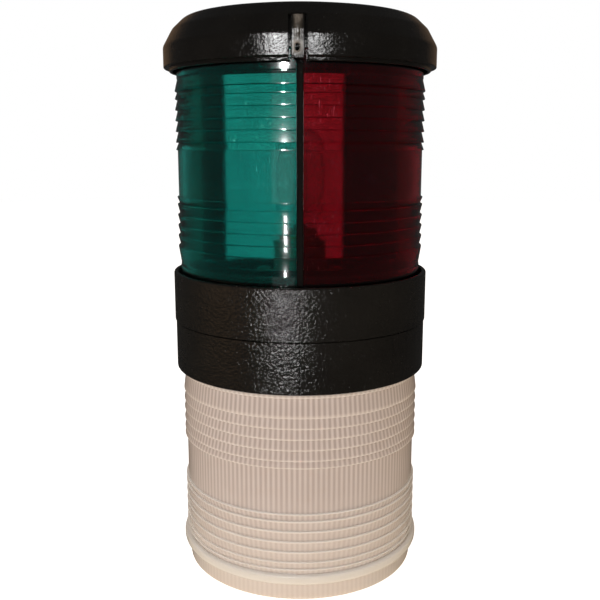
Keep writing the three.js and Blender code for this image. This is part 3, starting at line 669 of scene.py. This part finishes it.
def makeCap():
    s = capSettings
    outline = [(0, s['apex']), (21.0, s['apex'] - 0.4, 5.0), (37.0, s['apex'] - 1.8, 4.0),
               (*s['crown'], 1.5), (*s['shoulder'], 0.6), (s['radius'], s['bandTop'], 0.8),
               (s['radius'], s['rim'], 0.45), (53.7, s['rim']), (53.7, s['lip'], 0.25),
               (52.5, s['lip'], 0.25), (52.5, s['sealSeat']), (47.9, s['sealSeat']), (47.9, s['skirt'], 0.3),
               (46.1, s['skirt'], 0.3), (46.1, 221.5, 0.8), (39.5, 227.6, 2.0), (20.0, 229.6, 4.0), (0, 230.2)]
    lugs = [ringPart(51.2, 53.0, angle - s['lug'], angle + s['lug'], s['rim'], s['rim'] + 1.2, 0.15)
            for angle in s['lugAngles']]
    latch = latchSettings
    floor = latch['proud'] - latch['thick'] - s['slotDepth']
    back = s['radius'] - latch['thick'] - 0.6
    slotEnd = latch['length'] + s['slotRoom']
    recess = bowSlab([(60, 205), (52.0, 205), (52.0, 214.1), (back, 214.1),
                      (back, shoulderHeight(back, floor)), onShoulder(slotEnd, floor), onShoulder(slotEnd, 3),
                      (60, 226)], latch['recess'], latch['offset'])
    body = fitted(fitted(turned(outline, 192, 0.15), lugs, 'UNION'), [recess])
    makePiece('cap_moulding', body, 'cap', capPlastic, 'top_cap')


def makeLatch():
    s = latchSettings
    inner = capSettings['radius'] - s['thick']
    front = s['proud'] - 0.3
    outline = [(inner, s['bottom']), (s['face'], s['bottom']), (s['face'], shoulderHeight(s['face'], front)),
               onShoulder(s['length'], front), onShoulder(s['length'], s['proud'] - s['thick']),
               (inner, shoulderHeight(inner, s['proud'] - s['thick'])), (inner, 213.2), (51.9, 212.6),
               (51.9, 211.2), (inner, 210.8)]
    tongue = softenEdges(bowSlab(outline, s['width'], s['offset']), 0.22)
    route = [(s['length'] - 1.3, -1.5, 0.82), (s['length'] - 2.6, -1.25, 0.97), (2.6, -1.4, 0.94),
             (1.0, -1.65, 0.76)]
    points = []
    for upSlope, proud, thick in route:
        radius, height = onShoulder(upSlope, proud + s['proud'])
        points.append((s['offset'], -radius, height, thick))
    points += [(s['offset'], 1.3 - s['face'], 217.8, 0.75), (s['offset'], 0.8 - s['face'], 215.9, 0.5)]
    rib = bent(points, s['ribRadius'], 6)
    across, up = s['eyelet']
    rim = turned([(1.0, -0.3, 0.0), (1.45, -0.3, 0.0), (1.32, 0.28, 0.1), (1.05, 0.28, 0.1)], 40, 0)
    hole = dowel(1.0, 8, 'Z', 40)
    for shape in (hole, rim):
        bmesh.ops.scale(shape, verts=shape.verts, vec=(s['eyeletHalf'][0], s['eyeletHalf'][1], 1))
        turnBy(shape, 90, 'X')
        shift(shape, across, -s['face'], up)
    body = fitted(fitted(tongue, [rib, rim], 'UNION'), [hole])
    makePiece('latch_tongue', body, 'latch', latchPlastic, 'cap_latch')


makeCap()
makeLatch()
makePiece('cap_gasket', pipe(48.6, 51.4, 214.3, 216.3, 96, 0.5), 'cap', sealRubber, 'cap_seal')
print('cap and latch made')

# Base plate and what is fixed to it.
baseSettings = {'radius': 46.8, 'thick': 5.0, 'rim': 9.4, 'groove': 45.2, 'screwReach': 31, 'gland': (0, -27),
                'lugAngles': (60, 180, 300), 'lug': 6, 'lampScrew': 15.5, 'block': (-25.5, -14.0),
                'strips': (33.9, 39.1)}


def slottedScrew(radius, bottom, shank, headBottom, headTop, centre, slotTurn):
    outline = [(0, bottom), (shank, bottom, 0.2), (shank, headBottom), (radius, headBottom, 0.2),
               (radius * 0.93, headTop - 0.35, 0.25), (0, headTop)]
    if shank == radius:
        outline = [(0, bottom), (radius, bottom, 0.2), (radius, headTop - 0.2, 0.2), (0, headTop)]
    slot = block((radius * 3, radius * 0.3, 1.6), (0, 0, headTop + 0.1), 0, slotTurn)
    return fitted(turned(outline, 40, 0.08, centre=centre), [shift(slot, *centre)])


def makeBase():
    s = baseSettings
    outline = [(0, 0), (s['radius'], 0, 0.4), (s['radius'], s['thick']), (s['groove'], s['thick']),
               (s['groove'], s['thick'] + 2.5), (s['radius'], s['thick'] + 2.5), (s['radius'], s['rim'], 0.3),
               (42.5, s['rim'], 0.3), (42.5, s['thick'], 0.8), (0, s['thick'])]
    lugs = [ringPart(46.0, 48.5, angle - s['lug'], angle + s['lug'], 1.9, 4.3, 0.2)
            for angle in s['lugAngles']]
    holes = [rod(5.2, -1, 6, 48, centre=s['gland'])]
    for side in (-1, 1):
        holes += [rod(2.3, -1, 6, 32, centre=(side * s['screwReach'], 0)),
                  rod(4.4, 3.0, 6.2, 48, centre=(side * s['screwReach'], 0)),
                  rod(1.75, 1.2, 6, 24, centre=(side * s['lampScrew'], 0))]
    body = fitted(fitted(turned(outline, 160, 0.12), lugs, 'UNION'), holes)
    makePiece('base_moulding', body, 'base', basePlastic, 'base_plate')

    ring = bmesh.new()
    bmesh.ops.create_circle(ring, cap_ends=False, segments=16, radius=0.8 * mm)
    turnBy(ring, 90, 'X')
    shift(ring, x=46.3, z=6.25)
    bmesh.ops.spin(ring, geom=ring.verts[:] + ring.edges[:], cent=(0, 0, 0), axis=(0, 0, 1), dvec=(0, 0, 0),
                   angle=2 * math.pi, steps=160, use_merge=True)
    makePiece('o_ring', tidyShape(ring), 'base', sealRubber, 'base_o_ring')

    gland = [(3.6, 0.6), (4.9, 0.6), (4.9, 5.3), (7.4, 5.3, 0.3), (7.2, 6.6, 0.4), (5.6, 7.6, 0.4),
             (3.6, 7.6, 0.3)]
    makePiece('gland', turned(gland, 48, 0.15, centre=s['gland']), 'base', sealRubber,
              'cable_gland')
    for name, node, reach in (('ring_contact_inner', 'contact_strip_inner', s['strips'][0]),
                              ('ring_contact_outer', 'contact_strip_outer', s['strips'][1])):
        strip = ringPart(reach - 1.1, reach + 1.1, 172, 212, 5.3, 6.0, 0.15)
        makePiece(name, strip, 'base', contactBrass, node)

    x, y = s['block']
    bores = []
    for number, across in enumerate((-3, 3), 1):
        bores.append(rod(2.2, 9.0, 14, 32, centre=(x + across, y)))
        bores.append(shift(dowel(1.3, 3, 'X'), x + across, y - 4.0, 7.4))
        screw = slottedScrew(1.8, 9.3, 1.8, 9.3, 11.6, (x + across, y), 20 + 50 * number)
        makePiece(f'terminal_clamp_screw_{number}', screw, 'base', screwSteel,
                  f'terminal_screw_{number}')
    terminal = fitted(block((13, 8, 7), (x, y, 8.8), 0.5), bores)
    makePiece('terminal_body', terminal, 'base', basePlastic, 'terminal_block')


makeBase()
print('base made')

# Lamps. Heights are above the lampholder's seat.
lampSettings = {'pinHeights': (16.5, 14.0), 'turn': 25, 'travel': 2.0, 'padReach': 3.2, 'bulbBottom': 9.0,
                'filament': 40.4, 'filamentHalf': 4.65, 'filamentTurns': 17, 'springTurns': 2,
                'springRadius': 6.0, 'springFoot': 2.75, 'springRise': 3.3, 'wire': 0.35, 'screwReach': 15.5}


def makeHolder(prefix, seat, body):
    s = lampSettings
    foot = bmesh.new()
    bmesh.ops.create_cube(foot, size=1.0)
    bmesh.ops.scale(foot, verts=foot.verts, vec=(2 * s['screwReach'] * mm, 9 * mm, 2.4 * mm))
    shift(foot, z=1.2)
    ears = [rod(4.5, 0, 2.4, 40, centre=(side * s['screwReach'], 0)) for side in (-1, 1)]
    cup = [(0, 0), (11.0, 0), (11.0, 16.4, 0.3), (11.4, 16.8, 0.2), (11.4, 18.0, 0.4), (0, 18.0)]
    solid = fitted(turned(cup, 64, 0.2), [foot, *ears], 'UNION')
    holes = [rod(9.4, 2.4, 19, 64), rod(3.2, -1, 3, 32)]
    holes += [rod(1.75, -1, 4, 24, centre=(side * s['screwReach'], 0)) for side in (-1, 1)]
    makePiece(prefix + '_holder', shift(fitted(solid, holes), z=seat), body, socketPlastic,
              prefix + '_lampholder')
    for number, side in enumerate((-1, 1), 1):
        screw = slottedScrew(2.9, -2.3, 1.4, 2.7, 4.4, (side * s['screwReach'], 0), 35 * side)
        makePiece(f'{prefix}_holder_screw_{number}', shift(screw, z=seat), body, screwSteel,
                  f'{prefix}_lampholder_screw_{number}')


def makeShell(prefix, seat, body):
    s = lampSettings
    wall = [(8.1, 2.7), (8.9, 2.7), (8.9, 19.2), (9.25, 19.6, 0.15), (8.5, 19.6, 0.15), (8.1, 19.2)]
    cutters = []
    for number, pin in enumerate(s['pinHeights']):
        rest = 90 + 180 * number
        bottom = pin - s['travel'] - 1.3
        cutters.append(ringPart(7, 10, rest - 9.5, rest + s['turn'] + 9.5, bottom, pin + 1.3))
        cutters.append(ringPart(7, 10, rest + s['turn'] - 9.5, rest + s['turn'] + 9.5, bottom + 0.1, 21))
    shell = fitted(turned(wall, 96, 0.1), cutters)
    makePiece(prefix + '_bayonet_shell', shift(shell, z=seat), body, contactBrass,
              prefix + '_socket_shell')


def makeContact(prefix, seat, body, contactBody):
    s = lampSettings
    wire = s['wire']
    spring = coil(s['springRadius'], wire, s['springFoot'] + wire, s['springRise'] - 2 * wire,
                  s['springTurns'], 40)
    piece = makePiece(prefix + '_spring', shift(spring, z=seat), body, springSteel,
                      prefix + '_contact_spring', 60.0, False)
    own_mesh(piece)
    disc = turned([(0, 6.4), (7.5, 6.4, 0.3), (7.5, 8.1, 0.3), (5.2, 8.1), (4.9, 7.8), (0, 7.8)], 64, 0.1)
    wells = [rod(1.5, 6, 9, 32, centre=(side * s['padReach'], 0)) for side in (-1, 1)]
    makePiece(prefix + '_plunger', shift(fitted(disc, wells), z=seat), contactBody,
              socketPlastic, prefix + '_contact_plunger')
    for number, side in enumerate((-1, 1), 1):
        pad = turned([(0, 6.5), (1.2, 6.5, 0.15), (1.2, 8.3, 0.35), (0, 8.7)], 32, 0,
                     centre=(side * s['padReach'], 0))
        makePiece(f'{prefix}_pad_{number}', shift(pad, z=seat), contactBody, contactBrass,
                  f'{prefix}_contact_pad_{number}')


def makeBulb(prefix, seat, body):
    s = lampSettings
    low = s['bulbBottom']
    cap = turned([(7.1, low + 0.9), (7.45, low + 0.9, 0.2), (7.6, low + 1.6, 0.2), (7.6, low + 12.9, 0.3),
                  (7.35, low + 13.3, 0.2), (7.35, low + 13.6, 0.2), (7.6, low + 14.0, 0.15),
                  (7.1, low + 14.0)], 64, 0.1)
    pins = []
    for side, height in zip((1, -1), s['pinHeights']):
        pin = softenEdges(dowel(1.0, 1.4, 'Z'), 0.2)
        pins.append(shift(turnBy(pin, 90, 'Y'), side * 8.0, 0, height))
    makePiece(prefix + '_bayonet_cap', shift(fitted(cap, pins, 'UNION'), z=seat), body,
              bulbNickel, prefix + '_bulb_cap')
    disc = turned([(0, low + 0.6), (5.6, low + 0.6, 0.3), (6.8, low + 1.6, 0.3), (6.8, low + 3.0),
                   (0, low + 3.0)], 56, 0.1)
    solder = [turned([(0, low), (1.3, low, 0.35), (1.5, low + 1.2), (0, low + 1.2)], 28, 0,
                     centre=(side * s['padReach'], 0)) for side in (-1, 1)]
    makePiece(prefix + '_insulator', shift(fitted(disc, solder, 'UNION'), z=seat), body,
              screenPlastic, prefix + '_bulb_insulator')
    outer = [(6.6, 5.0), (6.6, 14.0), (7.6, 16.6), (9.6, 19.4), (10.8, 25.0), (10.9, 36.0), (8.8, 41.4),
             (4.6, 43.9), (0, 44.4)]
    inner = [(0, 43.5), (4.2, 43.0), (8.1, 40.7), (10.1, 35.8), (10.0, 25.2), (8.9, 19.8), (6.9, 17.0),
             (5.8, 14.3), (5.8, 5.0)]
    wall = [(radius, low + height) for radius, height in inner + outer]
    glass = smoothed(turned(wall, 24, 0), 2)
    makePiece(prefix + '_envelope', shift(glass, z=seat), body, bulbGlass,
              prefix + '_bulb_glass', 80.0, False)
    stem = smoothed(turned([(0, low + 5.0), (4.5, low + 5.0), (4.5, low + 5.6), (3.8, low + 12.0),
                            (1.8, low + 18.0), (1.6, low + 23.4), (0, low + 24.0)], 16, 0), 2)
    makePiece(prefix + '_glass_stem', shift(stem, z=seat), body, bulbGlass,
              prefix + '_bulb_stem', 80.0, False)
    for number, side in enumerate((-1, 1), 1):
        end = s['filament'] + 5.0 * side
        reach = 2.7 * side
        lead = bent([(reach, 0, low + 18.5), (reach, 0, (low + 18.5 + end) / 2), (reach, 0, end - 1.6),
                     (reach * 0.85, 0, end), (0, 0, end)], 0.3, 3)
        makePiece(f'{prefix}_lead_wire_{number}', shift(lead, z=seat), body, bulbNickel,
                  f'{prefix}_filament_lead_{number}', 60.0, False)
    half = s['filamentHalf']
    helix = coil(0.55, 0.11, s['filament'] - half, 2 * half, s['filamentTurns'], 14, 6)
    makePiece(prefix + '_coiled_filament', shift(helix, z=seat), body, tungsten,
              prefix + '_filament', 60.0, False)


for prefix, seat, body in (('anchor', 6.5, 'base'), ('tricolour', 128.5, 'housing')):
    makeHolder(prefix, seat, body)
    makeShell(prefix, seat, body)
    makeContact(prefix, seat, body, prefix + '_contact')
    makeBulb(prefix, seat, prefix + '_bulb')
print('lamps made')

# Riser that feeds the upper lamp.
riserSettings = {'reach': 36.5, 'pinShift': 2.6, 'wireShift': 1.05, 'wire': 0.75, 'radius': 3.0, 'bore': 2.3}


def makeRiser():
    s = riserSettings
    foot = block((9, 9.4, 5.6), (0, s['reach'], 11.0), 0.6)
    body = fitted(foot, [rod(s['radius'], 12, 110, 40, 0.2, centre=(0, s['reach']))], 'UNION')
    bores = [rod(s['bore'], 10.5, 111, 36, centre=(0, s['reach']))]
    for number, side in enumerate((-1, 1), 1):
        reach = s['reach'] + side * s['pinShift']
        bores.append(rod(1.3, 7, 12.4, 24, centre=(0, reach)))
        pin = turned([(0, 6.3), (0.55, 6.3, 0.2), (1.0, 6.8, 0.2), (1.0, 12.0), (0, 12.0)], 28, 0.1,
                     centre=(0, reach))
        makePiece(f'sprung_feed_pin_{number}', pin, 'housing', contactBrass,
                  f'feed_pin_{number}')
        x = s['wireShift'] * side
        route = [(x, s['reach'], 14.5), (x, s['reach'], 60), (x, s['reach'], 108), (x, s['reach'] - 0.6, 115),
                 (x, s['reach'] - 5, 119), (x, s['reach'] - 14, 120), (x, 10, 120.4), (x, 2.4, 120.8),
                 (x, 0, 122.6), (x, 0, 125), (x, 0, 128.0)]
        slotName, finish = ('wire_red', redWire) if number == 1 else ('wire_black', blackWire)
        makePiece(f'feed_wire_{number}', bent(route, s['wire'], 3), 'housing', finish,
                  f'riser_wire_{number}', 60.0, False)
    makePiece('riser', fitted(body, bores), 'housing', socketPlastic, 'riser_tube')


makeRiser()
print('riser made')

# Floor, light and camera.
sectorPieces = ('green_starboard_lens', 'red_port_lens', 'clear_rear_lens')
collarPieces = ('collar_upper', 'collar_split_ring')
capPieces = ('cap_moulding', 'latch_tongue')
brown = (1.0, 0.55, 0.24)
studio = {'floorRadius': 2.5, 'floorColour': (0.9, 0.9, 0.9), 'floorSeen': 0.97, 'floorLight': 0.45,
          'floorInGloss': 0.03, 'seenWorld': 1.0, 'diffuseWorld': 0.22, 'glossyWorld': 0.04,
          'warmth': (1.0, 0.77, 0.54, 1.0), 'aimHeight': 0.18}
# Soft lights, which light the body and make no reflection.
softLights = {
    'frontFill': {'place': (-0.2, -0.7, 0.35), 'size': (0.3, 0.5), 'power': 1.9, 'colour': (1.0, 0.96, 0.99)},
    'overhead': {'place': (0, -0.02, 1.3), 'size': (1.1, 1.1), 'power': 3.7},
}
# Reflected lights, which show only in the gloss of the pieces named in 'only'.
glints = {
    'warmSide': {'place': (-0.6, -0.25, 0.02), 'size': (0.5, 0.6), 'power': 0.5, 'colour': (1.0, 0.62, 0.34),
                 'only': collarPieces},
    'highStrip': {'place': (-0.042, -0.196, 0.232), 'size': (0.009, 0.035), 'power': 1.0,
                  'only': sectorPieces},
    'lowStrip': {'place': (-0.042, -0.196, 0.051), 'size': (0.007, 0.022), 'power': 0.03,
                 'only': sectorPieces},
    'collarStrip': {'place': (-0.042, -0.196, 0.112), 'size': (0.012, 0.06), 'power': 0.14,
                    'only': collarPieces},
    'dashGlint': {'place': (-0.085, -0.3, 0.175), 'size': (0.15, 0.03), 'power': 0.2,
                  'only': ('white_lens',)},
    'leftGlint': {'place': (-0.18, -0.6, 0.325), 'size': (0.15, 0.15), 'power': 2.2, 'only': capPieces},
    'rightGlint': {'place': (0.125, -0.63, 0.325), 'size': (0.08, 0.15), 'power': 1.0, 'only': capPieces},
    'brownLeft': {'place': (-0.55, 0.9, 0.42), 'size': (0.6, 0.5), 'power': 0.13, 'colour': brown,
                  'only': capPieces},
    'brownRight': {'place': (0.55, 0.9, 0.42), 'size': (0.6, 0.5), 'power': 0.09, 'colour': brown,
                   'only': capPieces},
    'windowGlint': {'place': (-0.17, -0.65, 0.3), 'size': (0.24, 0.6), 'power': 0.14,
                    'only': sectorPieces + collarPieces},
}


def makeFloor():
    floor = bmesh.new()
    bmesh.ops.create_circle(floor, cap_ends=True, segments=96, radius=studio['floorRadius'])
    mesh = bpy.data.meshes.new('floor')
    floor.to_mesh(mesh)
    floor.free()
    paper = Finish('floorPaper', {'Roughness': 0.9, 'Specular IOR Level': 0.1})
    mottle = paper.between(paper.grain(60.0, 3.0), 0.3, 0.7)
    darker = tuple(0.985 * part for part in studio['floorColour'])
    paper.feed(colour=paper.shade(mottle, studio['floorColour'], darker))
    rays = {name: paper.node('ShaderNodeLightPath', {}, {}, f'Is {name} Ray')
            for name in ('Camera', 'Glossy', 'Transmission')}
    seen = rays['Camera'].combine('MAXIMUM', rays['Camera'], rays['Transmission'])
    glow = paper.node('ShaderNodeEmission', {}, {
        'Color': paper.shade(seen, studio['warmth'][:3], (1, 1, 1)),
        'Strength': seen * (studio['floorSeen'] - studio['floorLight']) + studio['floorLight']})
    lit = paper.node('ShaderNodeAddShader', {}, {0: Field(paper, paper.shader.outputs[0]), 1: glow})
    dim = paper.node('ShaderNodeEmission', {}, {'Strength': studio['floorInGloss']})
    ends = paper.node('ShaderNodeMixShader', {}, {0: rays['Glossy'] * (1.0 - seen), 1: lit, 2: dim})
    paper.plug(paper.tree.nodes['Material Output'].inputs['Surface'], ends)
    mesh.materials.append(paper.material)
    thing = bpy.data.objects.new('floor', mesh)
    scene.collection.objects.link(thing)


def makeLights():
    for name, s in {**softLights, **glints}.items():
        light = bpy.data.lights.new(name, 'AREA')
        light.shape = 'RECTANGLE'
        light.size, light.size_y = s['size']
        light.energy = s['power']
        light.color = s.get('colour', (1, 1, 1))
        lamp = bpy.data.objects.new(name, light)
        lamp.location = s['place']
        aim = Vector((0, 0, min(studio['aimHeight'], s['place'][2]))) - lamp.location
        lamp.rotation_euler = aim.to_track_quat('-Z', 'Y').to_euler()
        lamp.visible_camera = False
        lamp.visible_transmission = False
        lamp.visible_glossy = name in glints
        lamp.visible_diffuse = name in softLights
        if 'only' in s:
            lit = bpy.data.collections.new(name + 'Lights')
            for piece in s['only']:
                lit.objects.link(bpy.data.objects[piece])
            lamp.light_linking.receiver_collection = lit
        scene.collection.objects.link(lamp)


def makeWorld():
    world = bpy.data.worlds.new('studio')
    world.use_nodes = True
    tree = world.node_tree
    paths = tree.nodes.new('ShaderNodeLightPath')
    seen = tree.nodes.new('ShaderNodeMath')
    seen.operation = 'MAXIMUM'
    tree.links.new(paths.outputs['Is Camera Ray'], seen.inputs[0])
    tree.links.new(paths.outputs['Is Transmission Ray'], seen.inputs[1])
    lit = tree.nodes.new('ShaderNodeMix')
    lit.inputs['A'].default_value = studio['diffuseWorld']
    lit.inputs['B'].default_value = studio['glossyWorld']
    tree.links.new(paths.outputs['Is Glossy Ray'], lit.inputs['Factor'])
    strength = tree.nodes.new('ShaderNodeMix')
    strength.inputs['B'].default_value = studio['seenWorld']
    tree.links.new(lit.outputs[0], strength.inputs['A'])
    tree.links.new(seen.outputs[0], strength.inputs['Factor'])
    tree.links.new(strength.outputs[0], tree.nodes['Background'].inputs['Strength'])
    tint = tree.nodes.new('ShaderNodeMix')
    tint.data_type = 'RGBA'
    tint.inputs[6].default_value = studio['warmth']
    tint.inputs[7].default_value = (1, 1, 1, 1)
    plain = tree.nodes.new('ShaderNodeMath')
    plain.operation = 'MAXIMUM'
    tree.links.new(seen.outputs[0], plain.inputs[0])
    tree.links.new(paths.outputs['Is Glossy Ray'], plain.inputs[1])
    tree.links.new(plain.outputs[0], tint.inputs[0])
    tree.links.new(tint.outputs[2], tree.nodes['Background'].inputs['Color'])
    scene.world = world
    scene.view_settings.view_transform = 'Standard'


cameraSettings = {'lens': 48.6, 'sensor': 36.0, 'place': (0, -0.3483, 0.1798), 'tiltDown': 10.72}


def makeCamera():
    lens = bpy.data.cameras.new('camera')
    lens.lens = cameraSettings['lens']
    lens.sensor_width = cameraSettings['sensor']
    lens.clip_start = 0.01
    camera = bpy.data.objects.new('camera', lens)
    camera.location = cameraSettings['place']
    camera.rotation_euler = (math.radians(90 - cameraSettings['tiltDown']), 0, 0)
    scene.collection.objects.link(camera)
    scene.camera = camera


makeFloor()
makeLights()
makeWorld()
makeCamera()
print('studio made')

bpy.context.view_layer.update()
